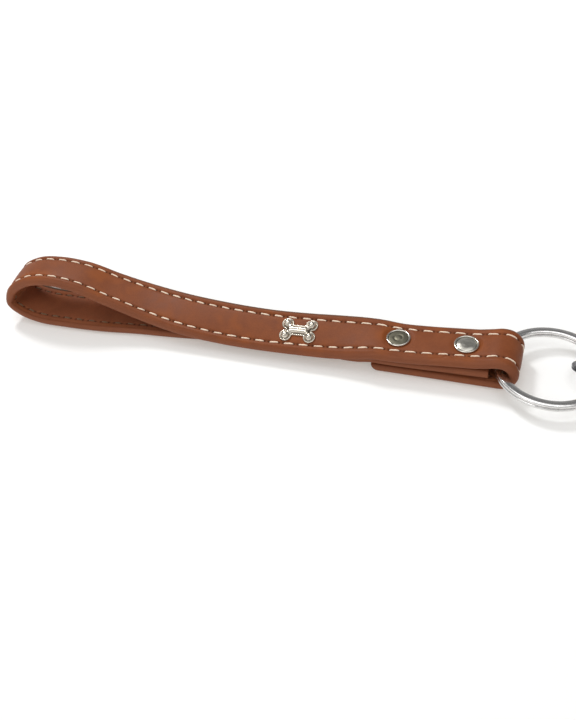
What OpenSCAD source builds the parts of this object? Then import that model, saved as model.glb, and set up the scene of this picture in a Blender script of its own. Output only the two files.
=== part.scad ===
// A padded leather wrist-loop keychain: one strap folded round a large split ring and riveted to
// itself, a bone-shaped stud on the top leg, and a small second split ring on the large one.
// +X runs along the strap to the rings, +Z is up, and Z = 0 is the surface the keychain lies on.
// The origin is on that surface and the strap's centre line, 0.6 behind the front rivet's axis.

/* [Strap] */
// Width of the strap
strap_w = 16.4; // [15:0.2:16.6]
// Thickness of the strap, face to lining
strap_t = 3; // [2.8:0.1:3.1]
// Thickness of the face leather
face_t = 0.8; // [0.6:0.1:0.9]
// Thickness of the lining
lining_t = 0.6; // [0.4:0.1:0.7]
// Width of the lining
lining_w = 14; // [13:0.2:14.2]
// Radius of the strap's long outer edges
edge_round = 1.3; // [1:0.1:1.3]

/* [Stitching] */
// Distance between the two rows of stitches
row_gap = 10.4; // [9.6:0.2:11]
// Distance from one stitch to the next
stitch_pitch = 5.25; // [5:0.25:6]
// Visible length of one stitch
stitch_len = 3.5; // [2.5:0.5:4]
// Diameter of the thread
thread_d = 0.7; // [0.5:0.1:0.8]

/* [Rivets] */
// Distance between the two rivets
rivet_gap = 22.2; // [21:0.1:22.4]
// Diameter of a rivet's caps
rivet_d = 8; // [7:0.5:8]
// Diameter of a rivet's post
post_d = 2.6; // [2:0.2:3]

/* [Bone stud] */
// Length of the bone between the centres of its lobes
bone_span = 8.6; // [8:0.2:10]
// Distance across the bone between the centres of its lobes
bone_gap = 4.6; // [4:0.2:5]
// Radius of the flange round each lobe
lobe_r = 2.2; // [2:0.1:2.6]

/* [Rings] */
// Outside diameter of the large split ring
ring_d = 35.4; // [34:0.2:36]
// Width of the large ring's wire
ring_wire_w = 2.7; // [2.4:0.1:2.7]
// Height of one coil of the large ring
ring_coil_h = 1.25; // [1:0.05:1.25]
// Outside diameter of the small split ring
small_ring_d = 15; // [14:0.5:15]
// Width of the small ring's wire
small_wire_w = 1.4; // [1.2:0.1:1.4]
// Height of one coil of the small ring
small_coil_h = 0.7; // [0.5:0.05:0.7]

/* [Hidden] */
$fn = 48;

half_t = strap_t / 2;
half_w = strap_w / 2;
lift = 0.15;                       // the stitches hold the strap this far off the surface
rest = lift + half_t;              // height of the strap's mid-plane where it lies down
layer_gap = 0.2;                   // air between two layers of the riveted stack
middle_z = rest + strap_t + layer_gap;
upper_z = middle_z + strap_t + layer_gap;
fold_x = 12;                       // centre of the fold round the ring
fold_r = 3.1;                      // radius inside the fold
fold_z = lift + strap_t + fold_r;  // height of the fold's centre
fold_mid_r = fold_r + half_t;
lower_end_x = 8.8;                 // where the lower leg ends, just short of the ring
tail_end_x = -29.5;                // where the tail ends
tail_slant = 2.6;                  // how far short of that its lower edge stops

// The strap's route, by hand, as points on its mid-plane: x, y, height, and how far the surface
// leans towards -Y in degrees. It runs from the cut tail round the fold, out along the top leg,
// round the wrist loop and back along the lower leg to its end between the other two layers.
tail_route = [
  [tail_end_x, 0, rest, 0], [-24, 0, rest, 0], [-16, 0, rest, 0],
  [-8, 0, rest, 0], [0, 0, rest, 0], [6, 0, rest, 0], [10.5, 0, rest, 0]
];
fold_route = [for (a = [-90:22.5:90]) [
  fold_x + fold_mid_r * cos(a), 0, fold_z + fold_mid_r * sin(a), 0
]];
top_route = [
  [8, 0, upper_z + 2.1, 0], [4, 0, upper_z + 1.3, 0], [0, 0, upper_z + 0.9, 0],
  [-5, -0.2, upper_z + 0.65, 0], [-15, -0.8, upper_z + 0.3, 1], [-21.6, -1, upper_z + 0.25, 2],
  [-28, -1.2, upper_z + 0.7, 5], [-35, -1.3, 8.2, 11], [-42, -1.6, 7.7, 15],
  [-56, -2.2, 7.3, 17], [-70, -2.5, 7.2, 19], [-85, -2, 7.3, 18],
  [-100, -1, 8, 14], [-115, 0.5, 9.8, 7], [-130, 1, 13.8, 0]
];
loop_route = [
  [-143, 1, 18.2, -3], [-154, 0.5, 19.6, -3], [-164, 0, 17.9, 2], [-171, -0.5, 13.4, 5],
  [-172.9, -1, 8.7, 2], [-168.4, -1.5, 4.8, -6], [-160, -2, rest + 1.7, -11]
];
lower_route = [
  [-150, -2, rest + 1.5, -11], [-135, -1.5, rest + 1, -7], [-120, 0, rest + 0.35, -2],
  [-105, 1, rest + 0.1, 0], [-90, 2.5, rest, 0], [-70, 4, rest, 0], [-56, 4, rest + 0.05, 0],
  [-47, 3.2, rest + 0.1, 0], [-40, 1.8, rest + 0.6, 0], [-34.5, 0.6, middle_z - 1.4, 0],
  [-29.5, -0.1, middle_z - 0.05, 0], [-25, -0.3, middle_z, 0], [-21, -0.3, middle_z, 0],
  [-12, -0.2, middle_z + 0.1, 0], [-4, 0, middle_z + 0.2, 0], [2, 0, middle_z + 0.4, 0],
  [lower_end_x, 0, middle_z + 0.6, 0]
];
route = concat(tail_route, fold_route, top_route, loop_route, lower_route);
steps = 3;                         // rings of the sweep from one route point to the next

// A point a fraction f of the way from p[i] to p[i + 1], on a smooth curve through all of them.
function pick(p, i) = p[max(0, min(len(p) - 1, i))];
function curve_point(p, i, f) =
  let (a = pick(p, i - 1), b = pick(p, i), c = pick(p, i + 1), d = pick(p, i + 2))
  let (la = norm(b - a) + 0.01, lb = norm(c - b) + 0.01, lc = norm(d - c) + 0.01)
  let (mb = ((c - b) / lb * la + (b - a) / la * lb) / (la + lb) * lb)
  let (mc = ((c - b) / lb * lc + (d - c) / lc * lb) / (lb + lc) * lb)
  (2 * f ^ 3 - 3 * f ^ 2 + 1) * b + (f ^ 3 - 2 * f ^ 2 + f) * mb
  + (3 * f ^ 2 - 2 * f ^ 3) * c + (f ^ 3 - f ^ 2) * mc;
function smooth(p, n) = [
  for (i = [0:len(p) - 2], k = [0:n - 1]) curve_point(p, i, k / n),
  p[len(p) - 1]
];
function xyz(p) = [p[0], p[1], p[2]];
function unit(v) = v / norm(v);

// A station holds a place on the strap, its direction, its width direction and its face's normal.
function station(p, i) =
  let (along = unit(xyz(pick(p, i + 1)) - xyz(pick(p, i - 1))))
  let (flat = unit([0, 1, 0] - along[1] * along), up = cross(flat, along), lean = p[i][3])
  let (across = flat * cos(lean) + up * sin(lean))
  [xyz(p[i]), along, across, cross(across, along)];
path = smooth(route, steps);
stations = [for (i = [0:len(path) - 1]) station(path, i)];

// Distance from the tail's end to each station, and the station at a given distance.
mileage = [
  for (i = 0, s = 0; i < len(path); i = i + 1,
       s = s + (i < len(path) ? norm(xyz(path[i]) - xyz(path[i - 1])) : 0)) [s, i]
];
strap_length = mileage[len(mileage) - 1][0];
function station_at(s) =
  let (t = lookup(s, mileage), i = min(floor(t), len(path) - 2), f = t - i)
  let (a = stations[i], b = stations[i + 1], along = unit(a[1] * (1 - f) + b[1] * f))
  let (across = unit(cross(along, cross(a[2] * (1 - f) + b[2] * f, along))))
  [a[0] * (1 - f) + b[0] * f, along, across, cross(across, along)];
function point_at(s, across, out) =
  let (q = station_at(s)) q[0] + across * q[2] + out * q[3];
module at_station(s, out) {
  q = station_at(s);
  o = point_at(s, 0, out);
  multmatrix([for (r = [0:2]) [q[1][r], q[2][r], q[3][r], o[r]]]) children();
}

// A closed tube through a list of stations, with its outline's points as [across, out].
module sweep(list, outline) {
  n = len(outline);
  m = len(list);
  points = [for (s = list, q = outline) s[0] + q[0] * s[2] + q[1] * s[3]];
  sides = [
    for (i = [0:m - 2], j = [0:n - 1])
      let (a = i * n + j, b = i * n + (j + 1) % n)
      each [[a, b, b + n], [a, b + n, a + n]]
  ];
  start_face = [for (j = [n - 1:-1:0]) j];
  end_face = [for (j = [0:n - 1]) (m - 1) * n + j];
  polyhedron(points, concat([start_face], sides, [end_face]));
}

// Outlines of the strap's three layers. The cover wraps the face and both edges of the core.
glue = 0.04;                       // glue line between two layers
chamfer = 0.38;                    // each long edge is a curve of flats
lining_half = lining_w / 2;
core_top = half_t - face_t;
core_base = lining_t - half_t;
cover_outline = [
  [-lining_half, -half_t], [chamfer - half_w, chamfer - half_t], [-half_w, edge_round - half_t],
  [-half_w, half_t - edge_round], [chamfer - half_w, half_t - chamfer],
  [edge_round - half_w, half_t], [half_w - edge_round, half_t],
  [half_w - chamfer, half_t - chamfer], [half_w, half_t - edge_round],
  [half_w, edge_round - half_t], [half_w - chamfer, chamfer - half_t], [lining_half, -half_t],
  [lining_half, core_top], [-lining_half, core_top]
];
function slab_outline(half, low, high) = [
  [-half, low], [-half, high], [half, high], [half, low]
];

// Where the rivets and the bone stud go through the strap.
front_rivet = [0.6, 0];
rear_rivet = [front_rivet[0] - rivet_gap, -0.6];
front_face_z = upper_z + 0.9 + half_t;  // height of the top leg's face under each rivet cap
rear_face_z = upper_z + 0.25 + half_t;
post_clear = 0.05;
seat_depth = 0.4;                  // the caps press this far into the leather
bone_s = 124.2;                    // distance of the bone stud from the tail's end
bone_post_r = 1;
bone_flange_h = 0.5;
bone_bar_r = 1.7;
bone_back_h = 0.4;
socket_r = 1.9;                    // outside of the socket under a rivet's cap
socket_len = 3;
back_cap_h = 0.6;
rim_h = 0.6;
disc_r = 2.9;
dome_r = 12;

// The rings. The large one hinges in the fold and the small one lies round its wire.
ring_tilt = 3.5;                   // the large ring slopes down to the small one
coil_gap = 0.1;
coil_steps = 140;
ring_r = (ring_d - ring_wire_w) / 2;
sag = ring_d / 2 - ring_wire_w - sqrt((ring_d / 2 - ring_wire_w) ^ 2 - half_w ^ 2);
ring_reach = ring_d / 2 - (ring_wire_w + sag) / 2;  // from the hinge to the ring's centre
ring_step = -40;                   // where the coil steps from one level to the other
wire_start = 1;                    // the wire's angles round the ring: its start and its end,
wire_end = 701;
step_start = 343;                  // and where it steps down to the second turn
step_end = 358;
small_at = 14;                     // place of the small ring round the large one
small_in = -2.4;                   // its centre from the large ring's wire, along the radius
small_up = 0.2;
small_lean = 28;
small_turn = 60;

module rivet_hole(place, face_z) {
  translate(place) {
    translate([0, 0, -1]) cylinder(r = socket_r + post_clear, h = face_z + 2);
    translate([0, 0, face_z - seat_depth]) cylinder(d = rivet_d + 2 * post_clear, h = 2);
    translate([0, 0, -1]) cylinder(d = rivet_d + 2 * post_clear, h = 1 + back_cap_h);
  }
}
module strap_holes() {
  rivet_hole(front_rivet, front_face_z);
  rivet_hole(rear_rivet, rear_face_z);
  at_station(bone_s, -half_t - 1) cylinder(r = bone_post_r + post_clear, h = strap_t + 2);
}
// The tail's end is cut on a slant, so that its lower edge stops short of its upper one.
module tail_cut() {
  translate([tail_end_x, half_w + 1, 0]) rotate([90, 0, 0]) linear_extrude(strap_w + 2)
    polygon([[-1, -1], [-1, lift + strap_t], [0, lift + strap_t], [tail_slant, 0], [tail_slant, -1]]);
}

// The strap
module strap_cover() {
  color([0.45, 0.22, 0.15]) difference() {
    sweep(stations, cover_outline);
    strap_holes();
    tail_cut();
  }
}
module strap_core() {
  color([0.75, 0.68, 0.58]) difference() {
    sweep(stations, slab_outline(lining_half - glue, core_base + glue, core_top - glue));
    strap_holes();
    tail_cut();
  }
}
module strap_lining() {
  color([0.33, 0.15, 0.09]) difference() {
    sweep(stations, slab_outline(lining_half - glue, -half_t, core_base));
    strap_holes();
    tail_cut();
  }
}

// The stitching: a row near each long edge, showing as dashes on the face and on the lining.
near_first = 6;                    // distance of each row's first stitch from the tail's end
far_first = 7;
back_len = 2.8;                    // length of a dash on the lining
module stitch_row(first, across, out, length) {
  for (s = [first:stitch_pitch:strap_length - 3])
    rod(point_at(s - length / 2, across, out), point_at(s + length / 2, across, out));
}
module rod(a, b) {
  v = b - a;
  translate(a) rotate([0, acos(v[2] / norm(v)), atan2(v[1], v[0])]) cylinder(d = thread_d, h = norm(v));
}
thread_out = 0.04;                 // how far a stitch stands out of the leather
face_out = half_t + thread_out - thread_d / 2;
module face_thread_near() { color([0.96, 0.84, 0.74]) stitch_row(near_first, -row_gap / 2, face_out, stitch_len); }
module face_thread_far() { color([0.96, 0.84, 0.74]) stitch_row(far_first, row_gap / 2, face_out, stitch_len); }
module back_thread_near() { color([0.22, 0.10, 0.05]) stitch_row(near_first, -row_gap / 2, -face_out, back_len); }
module back_thread_far() { color([0.22, 0.10, 0.05]) stitch_row(far_first, row_gap / 2, -face_out, back_len); }

// The rivets: a domed cap with a socket, closed onto the post of a flat back cap.
module rivet_cap(place, face_z) {
  color([0.72, 0.72, 0.70]) translate([place[0], place[1], face_z - seat_depth]) {
    difference() {
      rotate_extrude() rivet_profile();
      translate([0, 0, -socket_len - 1]) cylinder(r = post_d / 2 + post_clear, h = socket_len + 1);
    }
  }
}
// Half-section of the cap: socket, rim, groove and the shallow dome of the centre disc.
module rivet_profile() {
  difference() {
    union() {
      translate([0, -socket_len]) square([socket_r, socket_len + 0.1]);
      square([rivet_d / 2 - 0.3, rim_h]);
      translate([rivet_d / 2 - 0.3, rim_h / 2]) circle(d = rim_h);
      intersection() {
        translate([0, rim_h + 0.35 - dome_r]) circle(r = dome_r, $fn = 96);
        square([disc_r, 3]);
      }
    }
    translate([disc_r + 0.25, rim_h]) circle(r = 0.2);
    translate([-20, -20]) square([20, 40]);
  }
}
module rivet_post(place, face_z) {
  color([0.66, 0.66, 0.64]) translate(place) {
    cylinder(d = rivet_d, h = back_cap_h);
    cylinder(d = post_d, h = face_z - seat_depth - 0.2);
  }
}
module front_rivet_cap() { rivet_cap(front_rivet, front_face_z); }
module rear_rivet_cap() { rivet_cap(rear_rivet, rear_face_z); }
module front_rivet_post() { rivet_post(front_rivet, front_face_z); }
module rear_rivet_post() { rivet_post(rear_rivet, rear_face_z); }

// The bone stud: four lobes and a bar on a thin flange, with a post through the strap.
module bone_stud() {
  color([0.74, 0.74, 0.72]) at_station(bone_s, half_t) {
    linear_extrude(bone_flange_h) {
      for (x = [-1, 1], y = [-1, 1])
        translate([x * bone_span / 2, y * bone_gap / 2]) circle(r = lobe_r);
      square([bone_span, 2 * bone_bar_r + 1], center = true);
    }
    for (x = [-1, 1], y = [-1, 1])
      translate([x * bone_span / 2, y * bone_gap / 2, 0]) lobe_dome();
    intersection() {
      rotate([0, 90, 0]) cylinder(r = bone_bar_r, h = bone_span, center = true);
      translate([-bone_span / 2, -bone_bar_r, 0]) cube([bone_span, 2 * bone_bar_r, bone_bar_r]);
    }
    translate([0, 0, -strap_t - bone_back_h]) cylinder(r = bone_post_r, h = strap_t + bone_back_h + 0.3);
  }
}
module lobe_dome() {
  intersection() {
    translate([0, 0, -0.4]) sphere(r = lobe_r - 0.3);
    translate([0, 0, 1.5]) cube([6, 6, 3], center = true);
  }
}
module bone_stud_back() {
  color([0.66, 0.66, 0.64]) at_station(bone_s, -half_t - bone_back_h) difference() {
    cylinder(r = 2.6, h = bone_back_h - 0.02);
    translate([0, 0, -1]) cylinder(r = bone_post_r + 0.03, h = 3);
  }
}

// A split ring: one wire wound twice, stepping from its upper coil to its lower one.
module coil(outer_d, wire_w, coil_h) {
  r = (outer_d - wire_w) / 2;
  level = (coil_h + coil_gap) / 2;
  stations = [
    for (k = [0:coil_steps])
      let (a = wire_start + k * (wire_end - wire_start) / coil_steps)
      let (f = max(0, min(1, (a - step_start) / (step_end - step_start))))
      let (z = level * (1 - 2 * (3 * f ^ 2 - 2 * f ^ 3)))
      [[r * cos(a), r * sin(a), z], [-sin(a), cos(a), 0], [cos(a), sin(a), 0], [0, 0, 1]]
  ];
  w = wire_w / 2;
  h = coil_h / 2;
  c = coil_h / 4;
  sweep(stations, [
    [-w, c - h], [-w, h - c], [c - w, h], [w - c, h], [w, h - c], [w, c - h], [w - c, -h], [c - w, -h]
  ]);
}
module split_ring() {
  color([0.78, 0.78, 0.78]) in_ring() rotate([0, 0, ring_step]) coil(ring_d, ring_wire_w, ring_coil_h);
}
module small_split_ring() {
  color([0.35, 0.35, 0.36]) in_ring() rotate([0, 0, small_at])
    translate([ring_r + small_in, 0, small_up]) rotate([-small_lean, 0, 0]) rotate([0, 0, small_turn])
      coil(small_ring_d, small_wire_w, small_coil_h);
}
// The large ring's own frame: its centre and plane, hinged in the fold.
module in_ring() {
  translate([fold_x, 0, fold_z]) rotate([0, ring_tilt, 0]) translate([ring_reach, 0, 0]) children();
}

strap_cover();
strap_core();
strap_lining();
face_thread_near();
face_thread_far();
back_thread_near();
back_thread_far();
front_rivet_cap();
front_rivet_post();
rear_rivet_cap();
rear_rivet_post();
bone_stud();
bone_stud_back();
split_ring();
small_split_ring();
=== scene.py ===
"""The looks of a padded leather wrist-loop keychain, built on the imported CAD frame.

The strap is swept again along the CAD's own route, finer and softer, with its stitches, needle
holes and creases. The rivets, the bone stud and the split rings are turned or wound again with
smooth wire and rolled edges. Lengths below are in millimetres until a mesh is made.
"""
import math
import random

import bmesh
import bpy
import numpy as np
from mathutils import Matrix, Vector, geometry


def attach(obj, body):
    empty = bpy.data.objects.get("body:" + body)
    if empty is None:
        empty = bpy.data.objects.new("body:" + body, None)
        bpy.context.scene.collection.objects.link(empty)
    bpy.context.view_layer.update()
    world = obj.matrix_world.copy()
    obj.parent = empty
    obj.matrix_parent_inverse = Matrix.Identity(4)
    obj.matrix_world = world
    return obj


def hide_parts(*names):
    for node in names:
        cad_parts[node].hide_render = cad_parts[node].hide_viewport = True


MM = 0.001

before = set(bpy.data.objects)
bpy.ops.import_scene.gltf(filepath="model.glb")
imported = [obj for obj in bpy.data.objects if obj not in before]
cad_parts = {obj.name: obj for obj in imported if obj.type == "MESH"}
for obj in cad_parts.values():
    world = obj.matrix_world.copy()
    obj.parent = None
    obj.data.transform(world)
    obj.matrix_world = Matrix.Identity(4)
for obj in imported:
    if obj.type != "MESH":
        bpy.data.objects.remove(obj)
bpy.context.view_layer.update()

# ---------------------------------------------------------------- sizes, as in the CAD source
STRAP_W = 16.4
STRAP_T = 3.0
FACE_T = 0.8
LINING_T = 0.6
LINING_W = 14.0
HALF_W = STRAP_W / 2
HALF_T = STRAP_T / 2
LIFT = 0.15
REST = LIFT + HALF_T
LAYER_GAP = 0.2
MIDDLE_Z = REST + STRAP_T + LAYER_GAP
UPPER_Z = MIDDLE_Z + STRAP_T + LAYER_GAP

FOLD_X = 12.0
FOLD_R = 3.1
FOLD_Z = LIFT + STRAP_T + FOLD_R
FOLD_MID_R = FOLD_R + HALF_T
TAIL_END_X = -29.5
TAIL_SLANT = 2.6
LOWER_END_X = 8.8

ROW_GAP = 10.4
STITCH_PITCH = 5.25
STITCH_LEN = 3.5
BACK_LEN = 2.8
NEAR_FIRST = 6.0
FAR_FIRST = 7.0

FRONT_RIVET = (0.6, 0.0, UPPER_Z + 0.9 + HALF_T)
REAR_RIVET = (-21.6, -0.6, UPPER_Z + 0.25 + HALF_T)
RIVET_R = 4.0
SEAT_DEPTH = 0.4
BACK_CAP_H = 0.6

BONE_S = 124.2  # the stud's distance along the strap from the tail's end
BONE_SPAN = 8.6
BONE_GAP = 4.6
LOBE_R = 2.2

RING_D = 35.4
RING_WIRE_W = 2.7
RING_COIL_H = 1.25
RING_TILT = 3.5
RING_STEP = -40.0
WIRE_START, WIRE_END = 1.0, 701.0  # degrees that the wire winds through
STEP_START, STEP_END = 343.0, 358.0  # degrees where it steps to the lower coil
SMALL_RING_D = 15.0
SMALL_WIRE_W = 1.4
SMALL_COIL_H = 0.7
SMALL_AT = 14.0
SMALL_IN = -2.4
SMALL_UP = 0.2
SMALL_LEAN = 28.0
SMALL_TURN = 60.0
COIL_GAP = 0.1
RING_R = (RING_D - RING_WIRE_W) / 2
RING_INNER_R = RING_D / 2 - RING_WIRE_W
SAG = RING_INNER_R - math.sqrt(RING_INNER_R ** 2 - HALF_W ** 2)
RING_REACH = RING_D / 2 - (RING_WIRE_W + SAG) / 2

# ---------------------------------------------------------------- the strap's route, as in the CAD
# Points on the strap's mid-plane: x, y, height, and the surface's lean towards -Y in degrees.
TAIL_ROUTE = [
    (TAIL_END_X, 0, REST, 0), (-24, 0, REST, 0), (-16, 0, REST, 0),
    (-8, 0, REST, 0), (0, 0, REST, 0), (6, 0, REST, 0), (10.5, 0, REST, 0),
]
FOLD_ROUTE = [
    (FOLD_X + FOLD_MID_R * math.cos(math.radians(a)), 0,
     FOLD_Z + FOLD_MID_R * math.sin(math.radians(a)), 0)
    for a in np.arange(-90, 91, 22.5)
]
TOP_ROUTE = [
    (8, 0, UPPER_Z + 2.1, 0), (4, 0, UPPER_Z + 1.3, 0), (0, 0, UPPER_Z + 0.9, 0),
    (-5, -0.2, UPPER_Z + 0.65, 0), (-15, -0.8, UPPER_Z + 0.3, 1), (-21.6, -1, UPPER_Z + 0.25, 2),
    (-28, -1.2, UPPER_Z + 0.7, 5), (-35, -1.3, 8.2, 11), (-42, -1.6, 7.7, 15),
    (-56, -2.2, 7.3, 17), (-70, -2.5, 7.2, 19), (-85, -2, 7.3, 18),
    (-100, -1, 8, 14), (-115, 0.5, 9.8, 7), (-130, 1, 13.8, 0),
]
LOOP_ROUTE = [
    (-143, 1, 18.2, -3), (-154, 0.5, 19.6, -3), (-164, 0, 17.9, 2), (-171, -0.5, 13.4, 5),
    (-172.9, -1, 8.7, 2), (-168.4, -1.5, 4.8, -6), (-160, -2, REST + 1.7, -11),
]
LOWER_ROUTE = [
    (-150, -2, REST + 1.5, -11), (-135, -1.5, REST + 1, -7), (-120, 0, REST + 0.35, -2),
    (-105, 1, REST + 0.1, 0), (-90, 2.5, REST, 0), (-70, 4, REST, 0), (-56, 4, REST + 0.05, 0),
    (-47, 3.2, REST + 0.1, 0), (-40, 1.8, REST + 0.6, 0), (-34.5, 0.6, MIDDLE_Z - 1.4, 0),
    (-29.5, -0.1, MIDDLE_Z - 0.05, 0), (-25, -0.3, MIDDLE_Z, 0), (-21, -0.3, MIDDLE_Z, 0),
    (-12, -0.2, MIDDLE_Z + 0.1, 0), (-4, 0, MIDDLE_Z + 0.2, 0), (2, 0, MIDDLE_Z + 0.4, 0),
    (LOWER_END_X, 0, MIDDLE_Z + 0.6, 0),
]
ROUTE = np.array(TAIL_ROUTE + FOLD_ROUTE + TOP_ROUTE + LOOP_ROUTE + LOWER_ROUTE, float)
STATION_STEP = 0.35  # distance between two rings of the fine strap

# ---------------------------------------------------------------- how the leather is softened
# Distances along the strap between which it has flared out, and is loop, with the lengths over
# which each comes and goes.
FLARED_UNTIL, LOOP_FROM, LOOP_UNTIL, EASE_LENGTH = 100, 130, 290, 40
TAIL_FLARE, LOOP_FLARE = 0.40, 0.10
LOOP_PLUMP, END_PLUMP = 0.09, 0.17
FACE_CROWN, EDGE_ROLL, ROW_DEPTH, HOLE_DEPTH, FACE_UNEVEN = 0.13, 0.10, 0.20, 0.34, 0.05
EDGE_WOBBLE = 0.12
CLEARANCE = 0.04  # between the hidden layers


def curve_point(p, i, f):
    """A point a fraction f of the way from p[i] to p[i + 1], on a smooth curve through all."""
    a, b, c, d = (p[max(0, min(len(p) - 1, i + k))] for k in (-1, 0, 1, 2))
    la, lb, lc = (np.linalg.norm(v) + 0.01 for v in (b - a, c - b, d - c))
    mb = ((c - b) / lb * la + (b - a) / la * lb) / (la + lb) * lb
    mc = ((c - b) / lb * lc + (d - c) / lc * lb) / (lb + lc) * lb
    return ((2 * f ** 3 - 3 * f ** 2 + 1) * b + (f ** 3 - 2 * f ** 2 + f) * mb
            + (3 * f ** 2 - 2 * f ** 3) * c + (f ** 3 - f ** 2) * mc)


def unit(v):
    """v, or each row of v, at length 1."""
    return v / np.linalg.norm(v, axis=-1, keepdims=True)


def smooth_step(x):
    """0 below 0, 1 above 1, and a smooth rise between."""
    x = np.clip(x, 0, 1)
    return x * x * (3 - 2 * x)


class Strap:
    """The strap's centre line with, at each station, its length direction, width and normal.

    plump is how much thicker the padding stands than the CAD's, as a share, and flare is how far
    the soft rolled edges stand out sideways.
    """

    def __init__(self, route, step):
        dense = np.array([curve_point(route, i, k / 24)
                          for i in range(len(route) - 1) for k in range(24)] + [route[-1]])
        steps = np.linalg.norm(np.diff(dense[:, :3], axis=0), axis=1)
        run = np.concatenate([[0], np.cumsum(steps)])
        self.length = run[-1]
        self.s = np.linspace(0, self.length, int(self.length / step) + 1)
        self.mid = np.stack([np.interp(self.s, run, dense[:, k]) for k in range(3)], 1)
        lean = np.radians(np.interp(self.s, run, dense[:, 3]))[:, None]
        self.along = unit(np.gradient(self.mid, axis=0))
        y = np.array([0.0, 1.0, 0.0])
        flat = unit(y - self.along[:, 1:2] * self.along)
        up = np.cross(flat, self.along)
        self.across = flat * np.cos(lean) + up * np.sin(lean)
        self.normal = np.cross(self.across, self.along)
        from_end = self.length - self.s
        loop = smooth_step((self.s - LOOP_FROM) / EASE_LENGTH)
        loop = loop * (1 - smooth_step((self.s - LOOP_UNTIL) / EASE_LENGTH))
        flared = 1 - smooth_step((self.s - FLARED_UNTIL) / EASE_LENGTH)
        self.plump = LOOP_PLUMP * loop + END_PLUMP * (1 - smooth_step((from_end - 6) / 10))
        self.flare = TAIL_FLARE * flared + LOOP_FLARE * loop

    def point(self, s, across, out):
        """The point at distance s from the tail's end, off the mid-plane by across and out."""
        s, across, out = (np.asarray(v, float) for v in (s, across, out))
        flare = np.interp(s, self.s, self.flare) * smooth_step((abs(across) - 5.6) / 1.8)
        across = across + np.sign(across) * flare
        out = out * (1 + np.interp(s, self.s, self.plump))
        pick = [np.stack([np.interp(s, self.s, f[:, k]) for k in range(3)], -1)
                for f in (self.mid, self.across, self.normal)]
        return pick[0] + pick[1] * across[..., None] + pick[2] * out[..., None]

    def axes(self, s):
        """The length, width and normal directions at distance s."""
        return [np.array([np.interp(s, self.s, f[:, k]) for k in range(3)])
                for f in (self.along, self.across, self.normal)]


strap = Strap(ROUTE, STATION_STEP)


def ripple(s, u, seed, scale):
    """A gentle repeatable unevenness of about -1 to 1 over the strap's surface."""
    rng = random.Random(seed)
    total = 0
    for _ in range(6):
        a, b, c = rng.uniform(0.5, 1.6), rng.uniform(-1.2, 1.2), rng.uniform(0, 6.28)
        total = total + np.sin((a * s + b * u) / scale + c)
    return total / 3.5


# ---------------------------------------------------------------- mesh helpers
def make_mesh(name, points_mm, faces, smooth=True):
    """A new object from points in millimetres."""
    mesh = bpy.data.meshes.new(name)
    mesh.from_pydata([tuple(p) for p in np.asarray(points_mm) * MM], [], faces)
    mesh.validate()
    bm = bmesh.new()
    bm.from_mesh(mesh)
    bmesh.ops.recalc_face_normals(bm, faces=bm.faces)
    bm.to_mesh(mesh)
    bm.free()
    for poly in mesh.polygons:
        poly.use_smooth = smooth
    obj = bpy.data.objects.new(name, mesh)
    bpy.context.scene.collection.objects.link(obj)
    return obj


def point_values(obj, name, values):
    """Stores one number, or one vector, for each vertex, for the materials to read."""
    values = np.asarray(values, np.float32)
    kind, key = ("FLOAT", "value") if values.ndim == 1 else ("FLOAT_VECTOR", "vector")
    obj.data.attributes.new(name, kind, "POINT").data.foreach_set(key, values.ravel())


def grid_faces(rows, columns, first=0, closed_columns=True, closed_rows=False):
    """Quads of a grid of rows x columns vertices."""
    faces = []
    for i in range(rows if closed_rows else rows - 1):
        i2 = (i + 1) % rows
        for j in range(columns if closed_columns else columns - 1):
            j2 = (j + 1) % columns
            faces.append((first + i * columns + j, first + i * columns + j2,
                          first + i2 * columns + j2, first + i2 * columns + j))
    return faces


def cap_faces(outline, first):
    """Triangles that close a tube's end, whose outline may be hollow on one side."""
    flat = [Vector((a, b, 0)) for a, b in outline]
    return [tuple(first + i for i in tri) for tri in geometry.tessellate_polygon([flat])]


def lathe(name, profile, turns=96):
    """A piece of revolution about Z from a profile of (radius, height), axis to axis."""
    points, faces = [], []
    inner = [p for p in profile if p[0] > 1e-6]
    for r, z in inner:
        for k in range(turns):
            a = 2 * math.pi * k / turns
            points.append((r * math.cos(a), r * math.sin(a), z))
    faces += grid_faces(len(inner), turns)
    for end, row in ((profile[0], 0), (profile[-1], len(inner) - 1)):
        points.append((0, 0, end[1]))
        hub = len(points) - 1
        faces += [(row * turns + k, row * turns + (k + 1) % turns, hub) for k in range(turns)]
    return make_mesh(name, points, faces)


def arc(cx, cz, r, start, end, steps):
    """Points of an arc, in degrees, for a profile."""
    return [(cx + r * math.cos(math.radians(a)), cz + r * math.sin(math.radians(a)))
            for a in np.linspace(start, end, steps)]


def place(obj, s, out):
    """Sets a piece on the strap at distance s: X along it, Y across, Z out of the leather.

    The three directions are right-handed, so that the piece isn't mirrored.
    """
    _, across, normal = strap.axes(s)
    along = np.cross(across, normal)
    origin = strap.point(s, 0, out)
    obj.data.transform(Matrix((
        (along[0], across[0], normal[0], origin[0] * MM),
        (along[1], across[1], normal[1], origin[1] * MM),
        (along[2], across[2], normal[2], origin[2] * MM),
        (0, 0, 0, 1))))


def finish_piece(obj, material, body, nodes):
    """Gives a piece its material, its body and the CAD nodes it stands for."""
    obj.data.materials.append(material)
    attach(obj, body)
    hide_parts(*nodes)
    return obj


# ---------------------------------------------------------------- materials
def new_material(name, **values):
    """A material with its Principled shader, whose constant values are set on its sockets."""
    material = bpy.data.materials.new(name)
    material.use_nodes = True
    shader = material.node_tree.nodes["Principled BSDF"]
    for key, value in values.items():
        shader.inputs[key.replace("_", " ")].default_value = value
    return material, Nodes(material.node_tree), shader


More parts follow.
